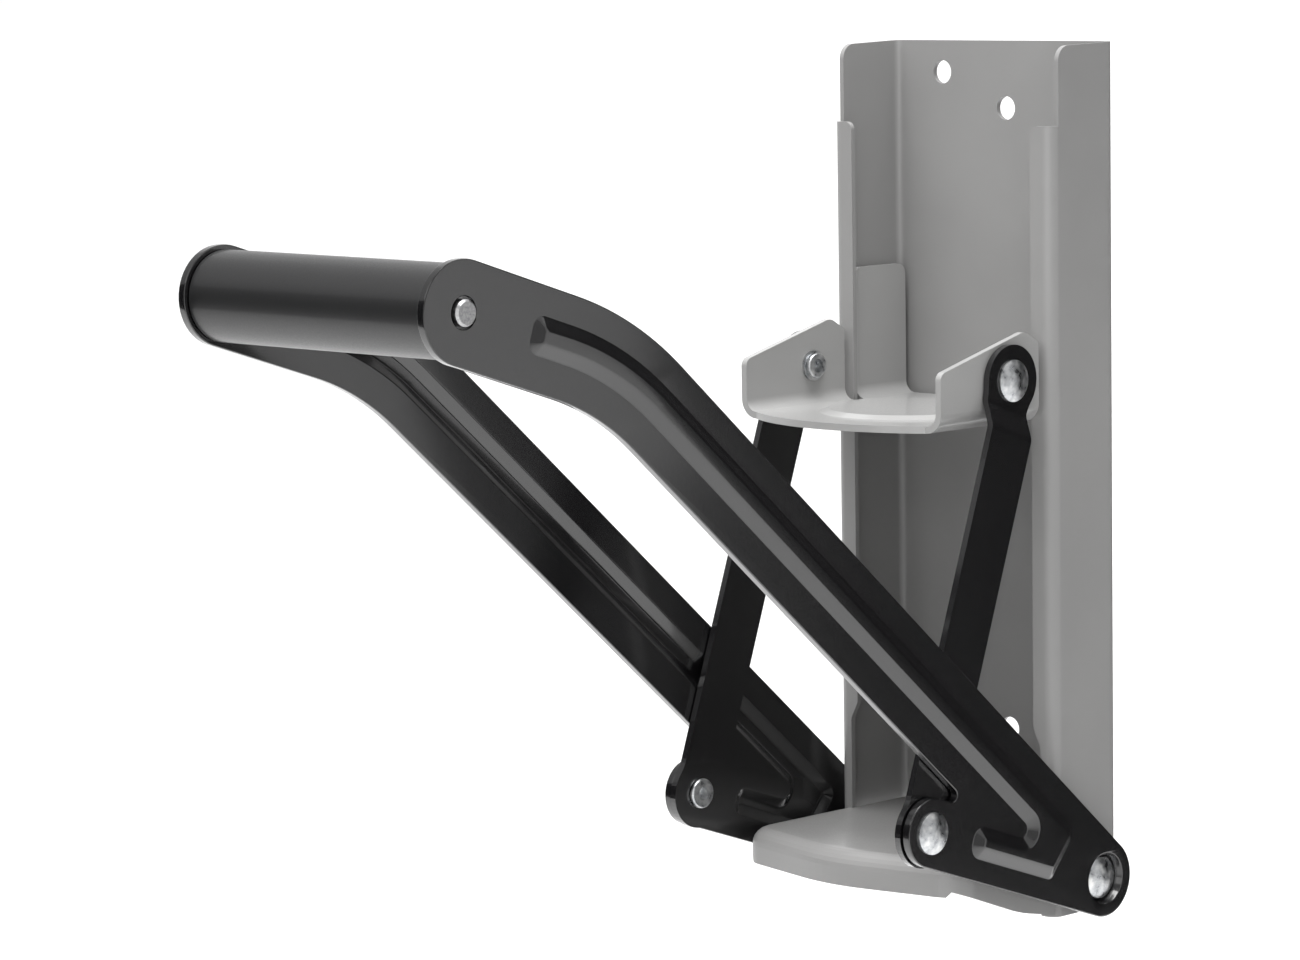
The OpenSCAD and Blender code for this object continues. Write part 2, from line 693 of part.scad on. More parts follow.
module link() {
    far_end = [for (i = [len(LINK_END) - 1:-1:0]) [link_len - LINK_END[i][0], LINK_END[i][1]]];
    color("#1b1b1c") difference() {
        translate([0, press_pivot[0], press_pivot[1]]) rotate([90, 0, 90]) rotate(link_dir)
            intersection() {
                linear_extrude(channel_w) polygon(concat(LINK_END, far_end));
                translate([0, link_w, 0]) rotate([90, 0, 0]) linear_extrude(2 * link_w)
                    polygon(outline(LINK_STRIP));
            }
        cross_bore(press_pivot, shank_r + fit);
        cross_bore(arm_pivot, shank_r);
    }
}

module link_right() {
    link();
}

module link_left() {
    left_hand() link();
}

module grip_tube() {
    half = arm_x - tube_end_gap;
    color("#1f1f20") on_pivot(grip_axis, -half) difference() {
        cylinder(d = tube_d, h = 2 * half);
        translate([0, 0, -overrun]) cylinder(d = tube_d - 2 * tube_wall, h = 2 * (half + overrun));
    }
}

module grip_rod() {
    end = arm_out + rod_out;
    color("#8d8f92") on_pivot(grip_axis, 0) rotate_extrude() polygon([
        [0, -end],
        [rod_d / 2 - rod_bevel, -end],
        [rod_d / 2, rod_bevel - end],
        [rod_d / 2, -arm_x],
        [rod_mid_d / 2, -arm_x],
        [rod_mid_d / 2, arm_x],
        [rod_d / 2, arm_x],
        [rod_d / 2, end - rod_bevel],
        [rod_d / 2 - rod_bevel, end],
        [0, end]]);
}

// Cap in the right end of the tube, hollow between its rim and its hub
module grip_plug() {
    rim = tube_d / 2 - tube_wall;
    bore = rod_mid_d / 2 + fit;
    color("#161617") on_pivot(grip_axis, arm_x - tube_end_gap - plug_len) difference() {
        cylinder(r = rim, h = plug_len);
        translate([0, 0, -overrun]) cylinder(r = bore, h = plug_len + 2 * overrun);
        translate([0, 0, -overrun]) difference() {
            cylinder(r = rim - plug_wall, h = plug_len - plug_wall + overrun);
            cylinder(r = bore + plug_wall, h = plug_len + overrun);
        }
    }
}

module grip_plug_right() {
    grip_plug();
}

module grip_plug_left() {
    left_hand() grip_plug();
}

// Rivet whose head lies in the arm's dimple and whose tail lies inside the channel
module frame_pivot_rivet() {
    head_x = arm_x + face_gap;
    color("#a9adb0") on_pivot(frame_pivot, head_x) rivet(head_x - flange_in, tail_d / 2);
}

module frame_pivot_rivet_right() {
    frame_pivot_rivet();
}

module frame_pivot_rivet_left() {
    left_hand() frame_pivot_rivet();
}

module frame_pivot_washer() {
    color("#a9adb0") on_pivot(frame_pivot, channel_w / 2) washer(pivot_washer_d, pivot_washer_t);
}

module frame_pivot_washer_right() {
    frame_pivot_washer();
}

module frame_pivot_washer_left() {
    left_hand() frame_pivot_washer();
}

// Rivet whose head lies on the link and whose tail lies on the washer inside the ear
module press_pivot_rivet() {
    head_x = link_high_x + link_t + face_gap;
    washer_x = press_side - press_t - washer_t;
    color("#a9adb0") on_pivot(press_pivot, head_x)
        rivet(head_x - washer_x, shank_r + press_tail_lip);
}

module press_pivot_rivet_right() {
    press_pivot_rivet();
}

module press_pivot_rivet_left() {
    left_hand() press_pivot_rivet();
}

module press_pivot_washer() {
    color("#a9adb0") on_pivot(press_pivot, press_side - press_t - washer_t)
        washer(washer_d, washer_t);
}

module press_pivot_washer_right() {
    press_pivot_washer();
}

module press_pivot_washer_left() {
    left_hand() press_pivot_washer();
}

// Head and shank in the arm; the tail in the link is a piece of its own
module arm_link_rivet_head() {
    color("#a9adb0") on_pivot(arm_pivot, arm_out) rotate_extrude()
        polygon(concat(HEAD_POINTS, [[shank_r, -arm_t], [0, -arm_t]]));
}

module arm_link_rivet_head_right() {
    arm_link_rivet_head();
}

module arm_link_rivet_head_left() {
    left_hand() arm_link_rivet_head();
}

module arm_link_rivet_tail() {
    color("#a9adb0") on_pivot(arm_pivot, link_low_x + link_t) rotate_extrude()
        polygon(concat([[0, 0], [shank_r, 0]], tail_points(link_t, tail_d / 2)));
}

module arm_link_rivet_tail_right() {
    arm_link_rivet_tail();
}

module arm_link_rivet_tail_left() {
    left_hand() arm_link_rivet_tail();
}

frame_channel();
base_tray();
press_plate();
lever_arm_right();
lever_arm_left();
link_right();
link_left();
grip_tube();
grip_rod();
grip_plug_right();
grip_plug_left();
frame_pivot_rivet_right();
frame_pivot_rivet_left();
frame_pivot_washer_right();
frame_pivot_washer_left();
press_pivot_rivet_right();
press_pivot_rivet_left();
press_pivot_washer_right();
press_pivot_washer_left();
arm_link_rivet_head_right();
arm_link_rivet_head_left();
arm_link_rivet_tail_right();
arm_link_rivet_tail_left();
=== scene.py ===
"""Looks of the lever can crusher: materials, small surface detail, light and camera.

Places are in metres, in the row frame. The sheet pieces are drawn in millimetres and degrees.
"""

import math

import bmesh
import bpy
from mathutils import Matrix, Vector
from mathutils.geometry import tessellate_polygon

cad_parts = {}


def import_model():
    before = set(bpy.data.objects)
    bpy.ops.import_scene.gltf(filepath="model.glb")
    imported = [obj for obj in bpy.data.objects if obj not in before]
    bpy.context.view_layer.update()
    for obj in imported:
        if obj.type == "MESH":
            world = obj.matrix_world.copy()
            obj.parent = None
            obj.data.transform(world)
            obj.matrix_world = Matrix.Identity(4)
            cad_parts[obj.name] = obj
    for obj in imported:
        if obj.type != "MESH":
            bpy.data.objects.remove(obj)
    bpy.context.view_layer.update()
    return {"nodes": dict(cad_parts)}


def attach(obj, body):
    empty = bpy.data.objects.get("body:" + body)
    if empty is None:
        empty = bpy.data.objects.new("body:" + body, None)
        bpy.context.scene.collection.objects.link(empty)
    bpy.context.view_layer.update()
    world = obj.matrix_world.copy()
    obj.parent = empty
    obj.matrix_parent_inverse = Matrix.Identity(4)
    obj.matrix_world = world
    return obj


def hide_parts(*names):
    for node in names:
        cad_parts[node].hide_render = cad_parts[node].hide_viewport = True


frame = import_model()
NODES = frame["nodes"]
SCENE = bpy.context.scene

MM = 0.001


class Shader:
    """A node material under construction. Its parts take and return output sockets."""

    def __init__(self, name, **values):
        self.material = bpy.data.materials.new(name)
        self.material.use_nodes = True
        self.tree = self.material.node_tree
        self.principled = self.tree.nodes["Principled BSDF"]
        self.fill(self.principled, values)

    def fill(self, node, values):
        """Sets a node's fields, whose names have _ for each space."""
        for name, value in values.items():
            node.inputs[name.replace("_", " ")].default_value = value

    def node(self, kind, **values):
        made = self.tree.nodes.new(kind)
        self.fill(made, values)
        return made

    def link(self, source, node, field):
        self.tree.links.new(source, node.inputs[field])

    def feed(self, field, source):
        """Leads a socket to a field of the Principled shader."""
        self.link(source, self.principled, field)

    def noise(self, scale, detail=4, stretch=(1, 1, 1)):
        """Noise in the piece's own coordinates, in metres."""
        place = self.node("ShaderNodeTexCoord")
        mapping = self.node("ShaderNodeMapping", Scale=stretch)
        made = self.node("ShaderNodeTexNoise", Scale=scale, Detail=detail)
        self.link(place.outputs["Object"], mapping, "Vector")
        self.link(mapping.outputs["Vector"], made, "Vector")
        return made.outputs["Fac"]

    def between(self, source, low, high, start=0.3, end=0.7):
        """A number that runs from low to high as the source runs from start to end."""
        made = self.node("ShaderNodeMapRange", From_Min=start, From_Max=end, To_Min=low, To_Max=high)
        self.link(source, made, "Value")
        return made.outputs["Result"]

    def ramp(self, source, stops):
        """Colours along a value from 0 to 1."""
        made = self.node("ShaderNodeValToRGB")
        elements = made.color_ramp.elements
        while len(elements) < len(stops):
            elements.new(0.5)
        for element, (place, colour) in zip(elements, stops):
            element.position = place
            element.color = (*colour, 1)
        self.link(source, made, "Fac")
        return made.outputs["Color"]

    def bump(self, source, distance, strength, under=None):
        """Relief of the whole piece, on top of the relief given as under."""
        made = self.node("ShaderNodeBump", Strength=strength, Distance=distance)
        self.link(source, made, "Height")
        if under is not None:
            self.link(under, made, "Normal")
        self.feed("Normal", made.outputs["Normal"])
        return made.outputs["Normal"]


def powder_coat(name, dark, light, rough, coat, coat_rough=0.12, peel=0.05 * MM):
    """Sprayed powder paint: slight orange peel and faint cloudiness."""
    look = Shader(name, Coat_Weight=coat, Coat_Roughness=coat_rough)
    clouds = look.noise(scale=18, detail=3)
    look.feed("Base Color", look.ramp(clouds, [(0.32, dark), (0.68, light)]))
    specks = look.noise(scale=2600, detail=2)
    look.feed("Roughness", look.between(specks, rough - 0.04, rough + 0.05))
    waves = look.bump(look.noise(scale=900, detail=2), distance=peel, strength=0.35)
    look.bump(specks, distance=peel / 2, strength=0.25, under=waves)
    return look.material


def zinc(name):
    """Bright zinc plating with mottled passivation and fine scratches."""
    look = Shader(name, Metallic=1)
    mottle = look.noise(scale=420, detail=5)
    greys = [(0.25, (0.20, 0.21, 0.22)), (0.5, (0.48, 0.49, 0.50)), (0.75, (0.76, 0.76, 0.75))]
    look.feed("Base Color", look.ramp(mottle, greys))
    look.feed("Roughness", look.between(mottle, 0.22, 0.46))
    scratches = look.noise(scale=2200, detail=3, stretch=(1, 1, 0.15))
    look.bump(scratches, distance=0.03 * MM, strength=0.4)
    return look.material


def drawn_steel(name):
    """Cold-drawn bar with turned ends."""
    look = Shader(name, Metallic=1)
    grain = look.noise(scale=1500, detail=3, stretch=(0.05, 1, 1))
    look.feed("Base Color", look.ramp(grain, [(0.3, (0.26, 0.26, 0.27)), (0.7, (0.46, 0.46, 0.46))]))
    look.feed("Roughness", look.between(grain, 0.28, 0.45))
    look.bump(grain, distance=0.02 * MM, strength=0.4)
    return look.material


def plastic(name):
    """Moulded black polyethylene with a faint grain."""
    look = Shader(name)
    grain = look.noise(scale=1400, detail=3)
    look.feed("Base Color", look.ramp(grain, [(0.3, (0.010, 0.010, 0.010)), (0.7, (0.018, 0.018, 0.018))]))
    look.feed("Roughness", look.between(grain, 0.5, 0.62))
    look.bump(grain, distance=0.04 * MM, strength=0.4)
    return look.material


GREY = powder_coat(
    "Grey powder coat",
    dark=(0.238, 0.236, 0.234),
    light=(0.264, 0.262, 0.259),
    rough=0.38,
    coat=0.25,
)
# The frame's grey paint on the press plate, with a lighter base colour as painted light from overhead; its
# glossier coat is its own
PRESS_GREY_PAINTED_TOP_LIGHT = powder_coat(
    "Grey powder coat, press, with painted top light",
    dark=(0.295, 0.294, 0.291),
    light=(0.325, 0.324, 0.320),
    rough=0.34,
    coat=0.6,
    coat_rough=0.08,
)
BLACK = powder_coat(
    "Black powder coat",
    dark=(0.0033, 0.0031, 0.0036),
    light=(0.0048, 0.0046, 0.0051),
    rough=0.22,
    coat=0.85,
    coat_rough=0.08,
    peel=0.03 * MM,
)
BLACK_GRIP = powder_coat(
    "Black grip coat",
    dark=(0.006, 0.006, 0.0065),
    light=(0.009, 0.009, 0.0095),
    rough=0.42,
    coat=0.25,
)
ZINC = zinc("Zinc plate")
STEEL = drawn_steel("Drawn steel")
PLASTIC = plastic("Black plastic")

# Materials of the CAD pieces; the rivets and washers, which aren't listed, are zinc plated
LOOKS = {
    "frame_channel": GREY,
    "base_tray": GREY,
    "press_plate": PRESS_GREY_PAINTED_TOP_LIGHT,
    "lever_arm_right": BLACK,
    "lever_arm_left": BLACK,
    "link_right": BLACK,
    "link_left": BLACK,
    "grip_tube": BLACK_GRIP,
    "grip_rod": STEEL,
    "grip_plug_right": PLASTIC,
    "grip_plug_left": PLASTIC,
}

# Rounding of the edges that the press and the paint leave soft
SOFT_PIECES = ("frame_channel", "base_tray", "press_plate", "link_right", "link_left")
SOFT_WIDTH = 0.4 * MM
SOFT_STEPS = 3
SOFT_ANGLE = 28


def soften(obj):
    bevel = obj.modifiers.new("soft_edges", "BEVEL")
    bevel.width = SOFT_WIDTH
    bevel.segments = SOFT_STEPS
    bevel.limit_method = "ANGLE"
    bevel.angle_limit = math.radians(SOFT_ANGLE)
    bevel.use_clamp_overlap = True
    bevel.harden_normals = True


for name, obj in NODES.items():
    obj.data.materials.clear()
    obj.data.materials.append(LOOKS.get(name, ZINC))

for name in SOFT_PIECES:
    soften(NODES[name])


def add_object(name, data):
    obj = bpy.data.objects.new(name, data)
    SCENE.collection.objects.link(obj)
    return obj


def mesh_from(name, work):
    """A mesh of the faces drawn in a bmesh, which is freed."""
    mesh = bpy.data.meshes.new(name)
    work.to_mesh(mesh)
    work.free()
    return mesh


# Drawing helpers in Y and Z, in millimetres, for sheet pieces that follow the CAD outlines
def toward(a):
    """The direction at an angle."""
    return Vector((math.cos(math.radians(a)), math.sin(math.radians(a))))


def angle_of(v):
    return math.degrees(math.atan2(v[1], v[0]))


def meet(a, p, b, q):
    """Where two lines meet, each given by its normal's angle and its distance."""
    sin_a, cos_a = math.sin(math.radians(a)), math.cos(math.radians(a))
    sin_b, cos_b = math.sin(math.radians(b)), math.cos(math.radians(b))
    return Vector((p * sin_b - q * sin_a, q * cos_a - p * cos_b)) / math.sin(math.radians(b - a))


def wrap_corner(centre, r, a, b):
    """Where two tangents of a circle meet, given by their normals' angles."""
    return centre + toward((a + b) / 2) * (r / math.cos(math.radians((b - a) / 2)))


def wrap(centre, r, a, b, parts, steps):
    """Corners that together round a circle from one normal's angle to another's."""
    turns = [a + (b - a) * i / parts for i in range(parts + 1)]
    return [(wrap_corner(centre, r, before, after), r, steps) for before, after in zip(turns, turns[1:])]


def fillet(a, p, b, r, steps):
    """Points of the arc that rounds the corner p between its neighbours a and b."""
    u, w = (a - p).normalized(), (b - p).normalized()
    half = math.acos(max(-1, min(1, u.dot(w)))) / 2
    centre = p + (u + w).normalized() * (r / math.sin(half))
    turn = 180 - 2 * math.degrees(half)
    if w.x * u.y - w.y * u.x < 0:
        turn = -turn
    start = angle_of(p + u * (r / math.tan(half)) - centre)
    return [centre + toward(start + turn * i / steps) * r for i in range(steps + 1)]


def outline(corners):
    """Points round a closed outline, whose corners are given as (place, radius, steps)."""
    n = len(corners)
    points = []
    for i, (p, r, steps) in enumerate(corners):
        points += fillet(corners[i - 1][0], p, corners[(i + 1) % n][0], r, steps)
    return points


def inset(corners, d, keep):
    """The same corners moved inward by d. Convex ones keep at least the share keep of their radius."""
    n = len(corners)
    moved = []
    for i, (p, r, steps) in enumerate(corners):
        before, after = p - corners[i - 1][0], corners[(i + 1) % n][0] - p
        s = Vector((-before.y, before.x)).normalized()
        t = Vector((-after.y, after.x)).normalized()
        convex = s.x * t.y - s.y * t.x > 0
        inner = max(r - d, r * keep) if convex else r + d
        moved.append((p + (s + t) * (d / (1 + s.dot(t))), inner, steps))
    return moved


RING_STEPS = 48


def ring(centre, r):
    return [centre + toward(360 * i / RING_STEPS) * r for i in range(RING_STEPS)]


# Distances that count as none: in a drawn loop in millimetres, the others in metres
SAME_IN_LOOP = 1e-6
SAME_IN_STRIP = 1e-9
MERGE = 2e-7
NO_LENGTH = 1e-8

# Edges between faces that meet at more than this angle stay sharp
SHARP_ANGLE = 32


class Sheet:
    """A closed mesh of strips between rings and of flat faces with holes, drawn in millimetres."""

    def __init__(self):
        self.work = bmesh.new()

    def corner(self, x, p):
        return self.work.verts.new((x * MM, p[0] * MM, p[1] * MM))

    def strip(self, rings):
        """Quads between neighbouring rings, each given as (distance from the middle, points)."""
        rows = [[self.corner(x, p) for p in points] for x, points in rings]
        for a, b in zip(rows, rows[1:]):
            for i in range(len(a)):
                j = (i + 1) % len(a)
                if max((row[i].co - row[j].co).length for row in (a, b)) > SAME_IN_STRIP:
                    self.work.faces.new((a[i], a[j], b[j], b[i]))

    def flat(self, x, loops):
        """A flat face whose first loop is its edge and whose others are holes."""
        loops = [
            [p for i, p in enumerate(loop) if (p - loop[i - 1]).length > SAME_IN_LOOP]
            for loop in loops
        ]
        corners = [self.corner(x, p) for loop in loops for p in loop]
        for tri in tessellate_polygon([[p.to_3d() for p in loop] for loop in loops]):
            self.work.faces.new([corners[k] for k in tri])

    def finish(self, name, hand):
        """The sheet as an object, mirrored if hand is -1."""
        bmesh.ops.remove_doubles(self.work, verts=self.work.verts, dist=MERGE)
        bmesh.ops.dissolve_degenerate(self.work, edges=self.work.edges, dist=NO_LENGTH)
        if hand < 0:
            bmesh.ops.scale(self.work, vec=(-1, 1, 1), verts=self.work.verts)
        bmesh.ops.recalc_face_normals(self.work, faces=self.work.faces)
        mesh = mesh_from(name, self.work)
        mesh.shade_smooth()
        mesh.set_sharp_from_angle(angle=math.radians(SHARP_ANGLE))
        obj = add_object(name, mesh)
        level = obj.modifiers.new("flat_faces_stay_flat", "WEIGHTED_NORMAL")
        level.keep_sharp = True
        return obj


# Sizes of the lever arms as in the CAD source, in millimetres and degrees
CHANNEL_W = 85
LINK_GAP = 0.9
LINK_T = 2
ARM_GAP = 0.4
ARM_T = 2.5
FRAME_D = 12.9
CRANK_LEN = 79.1
CRANK_RISE = 18.3
LEVER_LEN = 307.5
LEVER_RISE = 36.5
ARM_SLOPE = 41
GRIP_SLOPE = 18
ARM_W = 27.2
ARM_END_R = 11.3
LOBE_R = 9.8
ARM_BEND_R = 106
ARM_INNER_BEND_R = 80
NOTCH_R = 1.8
DIMPLE_H = 2.5
DIMPLE_R = 7.4
DIMPLE_TAPER = 0.7
RIB_H = 1.8
RIB_UP_GAP = 7.6
RIB_LO_GAP = 9
RIB_START = 23.5
RIB_END_GAP = 20.6
FOOT_GAP = 6.3
FOOT_W = 9.5
TOE_GAP = 17.5
HEEL_R = 2.5
SHIN_R = 4
CUFF_R = 3.5
ANKLE_R = 2.2
TOE_R = 4
RIB_SKIN = 0.3
SHANK_R = 3.2
FIT = 0.05
ROD_HOLE_R = 4.2

# Width of the rib's slope, wider than in the CAD source because it is smooth here
RIB_RUN = 3.9
# Share of its radius that a corner of the rib keeps up the slope
RIB_KEEP = 0.2
# The slope from its foot to the rib's top: shares of its width and of the rib's height
RIB_PROFILE = [
    (0, 0),
    (0.07, 0.02),
    (0.14, 0.08),
    (0.44, 0.45),
    (0.74, 0.82),
    (0.82, 0.91),
    (0.9, 0.97),
    (1, 1),
]

# Size of the arms' rounded edges, and their section from a face to the side in shares of it
EDGE = 0.35
EDGE_PROFILE = [(0, 1), (0.1, 0.55), (0.45, 0.15), (1, 0)]

# Dimple in section, as distances from a face of the arm, outside then inside, and from the dimple's radius
MOUTH_R = 0.5
FLOOR_BEVEL = 0.35
FLOOR_IN = 0.3
FLARE = 1.4
DIMPLE_HOLLOW = [
    (0, MOUTH_R),
    (-0.12, 0.18),
    (-MOUTH_R, 0),
    (FLOOR_BEVEL - DIMPLE_H, -DIMPLE_TAPER),
    (-DIMPLE_H, -DIMPLE_TAPER - FLOOR_IN),
]
DIMPLE_BACK = [
    (-DIMPLE_H, -FLOOR_BEVEL),
    (FLOOR_BEVEL - DIMPLE_H, 0),
    (-0.35, 0.9),
    (0, FLARE),
]

# Bevel of the bores at the link pivot and the grip
BORE_BEVEL = 0.2

# Steps of the arcs: wide bends and round ends, the frame end's parts, inner corners, small corners
WIDE_STEPS = 14
END_STEPS = 10
INNER_STEPS = 12
SMALL_STEPS = 8

ARM_X = CHANNEL_W / 2 + LINK_GAP + LINK_T + ARM_GAP
ARM_OUT = ARM_X + ARM_T
FRAME_PIVOT = Vector((-FRAME_D, 0))
ARM_PIVOT = FRAME_PIVOT + toward(180 - CRANK_RISE) * CRANK_LEN
GRIP_AXIS = FRAME_PIVOT + toward(180 - LEVER_RISE) * LEVER_LEN

# Edges of the arm's plan, each given by its normal's angle and its distance
UP, GRIP_UP = 90 - ARM_SLOPE, 90 - GRIP_SLOPE
CRANK = angle_of(FRAME_PIVOT - ARM_PIVOT)
LEAN = math.degrees(math.acos((LOBE_R - ARM_END_R) / CRANK_LEN))
LOW, LOBE_UP = CRANK - LEAN, CRANK + LEAN
ARM_HI = toward(UP).dot(FRAME_PIVOT) + ARM_END_R
ARM_LO = ARM_HI - ARM_W
GRIP_HI = toward(GRIP_UP).dot(GRIP_AXIS) + ARM_W / 2
GRIP_LO = GRIP_HI - ARM_W
BOTTOM = toward(LOW).dot(FRAME_PIVOT) + ARM_END_R
LOBE_HI = toward(LOBE_UP).dot(ARM_PIVOT) + LOBE_R

ARM_CORNERS = [
    *wrap(FRAME_PIVOT, ARM_END_R, LOW, UP, 3, END_STEPS),
    (meet(UP, ARM_HI, GRIP_UP, GRIP_HI), ARM_BEND_R, WIDE_STEPS),
    *wrap(GRIP_AXIS, ARM_W / 2, GRIP_UP, GRIP_UP + 180, 2, WIDE_STEPS),
    (meet(GRIP_UP + 180, -GRIP_LO, UP + 180, -ARM_LO), ARM_INNER_BEND_R, WIDE_STEPS),
    (meet(UP + 180, -ARM_LO, LOBE_UP, LOBE_HI), NOTCH_R, INNER_STEPS),
    *wrap(ARM_PIVOT, LOBE_R, LOBE_UP, LOW + 360, 2, WIDE_STEPS),
]

# Edges of the pressed rib's plan
RIB_HI, RIB_LO = ARM_HI - RIB_UP_GAP, ARM_LO + RIB_LO_GAP
RIB_GRIP_HI, RIB_GRIP_LO = GRIP_HI - RIB_UP_GAP, GRIP_LO + RIB_LO_GAP
SOLE = BOTTOM - FOOT_GAP
HEEL = toward(-ARM_SLOPE).dot(FRAME_PIVOT) - RIB_END_GAP
CUFF = toward(GRIP_UP + 90).dot(GRIP_AXIS) - RIB_START
TOE = toward(LOW - 90).dot(ARM_PIVOT) - TOE_GAP

RIB_CORNERS = [
    (meet(LOW, SOLE, -ARM_SLOPE, HEEL), HEEL_R, SMALL_STEPS),
    (meet(-ARM_SLOPE, HEEL, UP, RIB_HI), SHIN_R, SMALL_STEPS),
    (meet(UP, RIB_HI, GRIP_UP, RIB_GRIP_HI), ARM_BEND_R - RIB_UP_GAP, WIDE_STEPS),
    (meet(GRIP_UP, RIB_GRIP_HI, GRIP_UP + 90, CUFF), CUFF_R, SMALL_STEPS),
    (meet(GRIP_UP + 90, CUFF, GRIP_UP + 180, -RIB_GRIP_LO), CUFF_R, SMALL_STEPS),
    (meet(GRIP_UP + 180, -RIB_GRIP_LO, UP + 180, -RIB_LO), ARM_INNER_BEND_R + RIB_LO_GAP, WIDE_STEPS),
    (meet(UP + 180, -RIB_LO, LOW + 180, FOOT_W - SOLE), ANKLE_R, INNER_STEPS),
    (meet(LOW + 180, FOOT_W - SOLE, LOW - 90, TOE), TOE_R, SMALL_STEPS),
    (meet(LOW - 90, TOE, LOW, SOLE), TOE_R, SMALL_STEPS),
]


def edge_rings():
    """Rings round the arm's side, from its outside face to its inside face."""
    places = [(ARM_OUT - EDGE * depth, EDGE * side) for depth, side in EDGE_PROFILE]
    places += [(ARM_X + EDGE * depth, EDGE * side) for depth, side in reversed(EDGE_PROFILE)]
    return [(x, outline(inset(ARM_CORNERS, d, 0))) for x, d in places]


def rib_rings(face, skin):
    """Rings up the rib's slope from a face of the arm, drawn in by skin."""
    return [
        (face + RIB_H * rise, outline(inset(RIB_CORNERS, skin + RIB_RUN * run, RIB_KEEP)))
        for run, rise in RIB_PROFILE
    ]


def dimple_rings():
    """Rings from the dimple's mouth over its floor, through the bore and out to the inside face."""
    floor = [(face - DIMPLE_H, ring(FRAME_PIVOT, SHANK_R + FIT)) for face in (ARM_OUT, ARM_X)]
    hollow = [(ARM_OUT + x, ring(FRAME_PIVOT, DIMPLE_R + d)) for x, d in DIMPLE_HOLLOW]
    back = [(ARM_X + x, ring(FRAME_PIVOT, DIMPLE_R + d)) for x, d in DIMPLE_BACK]
    return hollow + floor + back


def bore_rings(centre, r):
    mouth, bore = ring(centre, r + BORE_BEVEL), ring(centre, r)
    return [(ARM_OUT, mouth), (ARM_OUT - BORE_BEVEL, bore), (ARM_X + BORE_BEVEL, bore), (ARM_X, mouth)]


def lever_arm(hand, side):
    """Bent sheet arm with rounded edges, a smooth pressed rib, a dimple and two bores."""
    sheet = Sheet()
    edge = edge_rings()
    sheet.strip(edge)
    ribs = (rib_rings(ARM_OUT, 0), rib_rings(ARM_X, RIB_SKIN))
    for slope in ribs:
        sheet.strip(slope)
        x, top = slope[-1]
        sheet.flat(x, [top])
    dimple = dimple_rings()
    sheet.strip(dimple)
    mouths = []
    for centre, r in ((ARM_PIVOT, SHANK_R), (GRIP_AXIS, ROD_HOLE_R)):
        bore = bore_rings(centre, r)
        sheet.strip(bore)
        mouths.append(bore[0][1])
    for x, slope, at in zip((ARM_OUT, ARM_X), ribs, (0, -1)):
        sheet.flat(x, [edge[at][1], slope[0][1], dimple[at][1], *mouths])
    obj = sheet.finish("arm_sheet_" + side, hand)
    obj.data.materials.append(BLACK)
    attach(obj, "lever")
    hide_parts("lever_arm_" + side)


lever_arm(1, "right")
lever_arm(-1, "left")


def dull(name, dark, light, scale, rough):
    """Faintly mottled grey surface with hardly any gloss."""
    look = Shader(name, Roughness=rough, Specular_IOR_Level=0.1)
    look.feed("Base Color", look.ramp(look.noise(scale), [(0.3, (dark,) * 3), (0.7, (light,) * 3)]))
    return look


# Paper under and behind the object, in metres: its floor turns up into a wall in a quarter circle
SWEEP_X = 9
FLOOR_Z = -0.3
FLOOR_FRONT = -9
FLOOR_BACK = 0.55
SWEEP_R = 0.9
SWEEP_TOP = 4
SWEEP_STEPS = 12
# Light of its own that lifts the paper to white where it is seen
PAPER_LIFT = 0.5


def sweep():
    points = [(FLOOR_FRONT, FLOOR_Z)]
    for i in range(SWEEP_STEPS + 1):
        a = math.radians(90 * i / SWEEP_STEPS)
        points.append((FLOOR_BACK + SWEEP_R * math.sin(a), FLOOR_Z + SWEEP_R - SWEEP_R * math.cos(a)))
    points.append((FLOOR_BACK + SWEEP_R, SWEEP_TOP))
    work = bmesh.new()
    rows = [[work.verts.new((x, y, z)) for x in (-SWEEP_X, SWEEP_X)] for y, z in points]
    for a, b in zip(rows, rows[1:]):
        work.faces.new((a[0], a[1], b[1], b[0]))
    mesh = mesh_from("sweep", work)
    mesh.shade_smooth()
    obj = add_object("backdrop", mesh)
    obj.data.materials.append(paper())


def paper():
    """White paper, lifted for rays that the camera sees straight or in a reflection."""
    look = dull("White paper", dark=0.60, light=0.61, scale=2, rough=0.9)
    rays = look.node("ShaderNodeLightPath")
    seen = rays.outputs["Is Camera Ray"]
    for name in ("Is Glossy Ray", "Is Transmission Ray"):
        either = look.node("ShaderNodeMath")
        either.operation = "MAXIMUM"
        look.link(seen, either, 0)
        look.link(rays.outputs[name], either, 1)
        seen = either.outputs["Value"]
    look.principled.inputs["Emission Color"].default_value = (1, 1, 1, 1)
    look.feed("Emission Strength", look.between(seen, 0, PAPER_LIFT, start=0, end=1))
    return look.material


def board(name, low, high, y):
    """A dark board between two corners (x, z), seen only in reflections, so black paint keeps its depth."""
    work = bmesh.new()
    corners = ((low[0], low[1]), (high[0], low[1]), (high[0], high[1]), (low[0], high[1]))
    work.faces.new([work.verts.new((x, y, z)) for x, z in corners])
    obj = add_object(name, mesh_from(name, work))
    obj.data.materials.append(dull("Black board", dark=0.012, light=0.016, scale=6, rough=0.95).material)
    obj.visible_camera = False
    obj.visible_diffuse = False
    obj.visible_transmission = False
    obj.visible_shadow = False


def area_light(name, at, to, size, watts):
    data = bpy.data.lights.new(name, "AREA")
    data.shape = "RECTANGLE"
    data.size, data.size_y = size
    data.energy = watts
    obj = add_object(name, data)
    obj.location = at
    obj.rotation_euler = (Vector(to) - Vector(at)).to_track_quat("-Z", "Y").to_euler()


# Camera fitted to the photograph: angles in degrees, focal length and width in photo pixels
CAM_AZ = 45.60
CAM_EL = 6.89
CAM_ROLL = -0.95
CAM_F = 4521
PHOTO_WIDTH = 1300
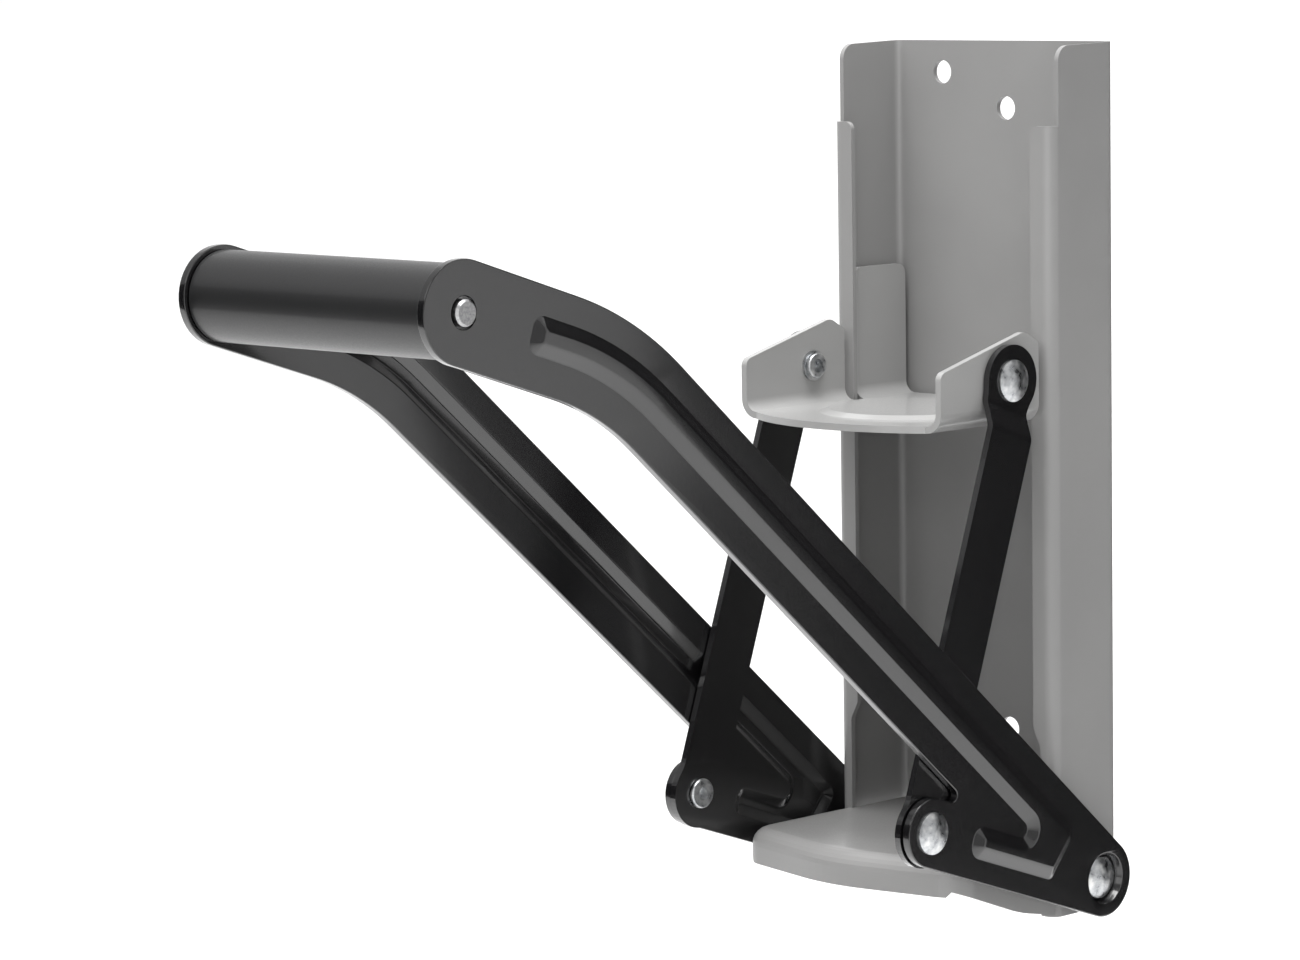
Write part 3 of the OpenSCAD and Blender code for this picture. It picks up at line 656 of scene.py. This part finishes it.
# Its place in metres, its sensor in millimetres and the distances in metres that it sees
CAM_AT = (0.8823, -1.0130, 0.2759)
SENSOR_WIDTH = 36
CAM_NEAR = 0.05
CAM_FAR = 50


def camera():
    data = bpy.data.cameras.new("camera")
    obj = add_object("camera", data)
    data.sensor_width = SENSOR_WIDTH
    data.lens = SENSOR_WIDTH * CAM_F / PHOTO_WIDTH
    data.clip_start = CAM_NEAR
    data.clip_end = CAM_FAR
    az, el, roll = (math.radians(a) for a in (CAM_AZ, CAM_EL, CAM_ROLL))
    ahead = Vector((-math.sin(az) * math.cos(el), math.cos(az) * math.cos(el), -math.sin(el)))
    right = Vector((math.cos(az), math.sin(az), 0))
    up = right.cross(ahead)
    turned_right = right * math.cos(roll) + up * math.sin(roll)
    turned_up = up * math.cos(roll) - right * math.sin(roll)
    turn = Matrix((turned_right, turned_up, -ahead)).transposed()
    obj.matrix_world = Matrix.Translation(CAM_AT) @ turn.to_4x4()
    SCENE.camera = obj


# Brightness of the white surroundings as a light, and where they are seen
WORLD_LIGHT = 0.5
WORLD_SEEN = 1


def world():
    made = bpy.data.worlds.new("studio")
    made.use_nodes = True
    nodes, links = made.node_tree.nodes, made.node_tree.links
    back = nodes["Background"]
    back.inputs["Color"].default_value = (1, 1, 1, 1)
    rays = nodes.new("ShaderNodeLightPath")
    strength = nodes.new("ShaderNodeMapRange")
    strength.inputs["To Min"].default_value = WORLD_LIGHT
    strength.inputs["To Max"].default_value = WORLD_SEEN
    links.new(rays.outputs["Is Camera Ray"], strength.inputs["Value"])
    links.new(strength.outputs["Result"], back.inputs["Strength"])
    SCENE.world = made


sweep()
camera()
world()
board("board_behind", low=(-0.6, -0.29), high=(0.95, 0.8), y=0.7)
board("board_in_front", low=(-2, -0.29), high=(-0.1, 0.6), y=-1.1)
area_light("key", at=(-0.5, -1.6, 1.3), to=(0, -0.12, 0.1), size=(1.4, 1.2), watts=9)
area_light("fill", at=(0.9, -1.7, 0.5), to=(0, -0.05, 0.12), size=(1.4, 1), watts=7)
area_light("top", at=(0.1, -0.3, 1.9), to=(0, -0.1, 0.1), size=(1.6, 1.6), watts=80)

SCENE.view_settings.view_transform = "Standard"
SCENE.view_settings.look = "None"
SCENE.view_settings.exposure = 0
SCENE.view_settings.gamma = 1
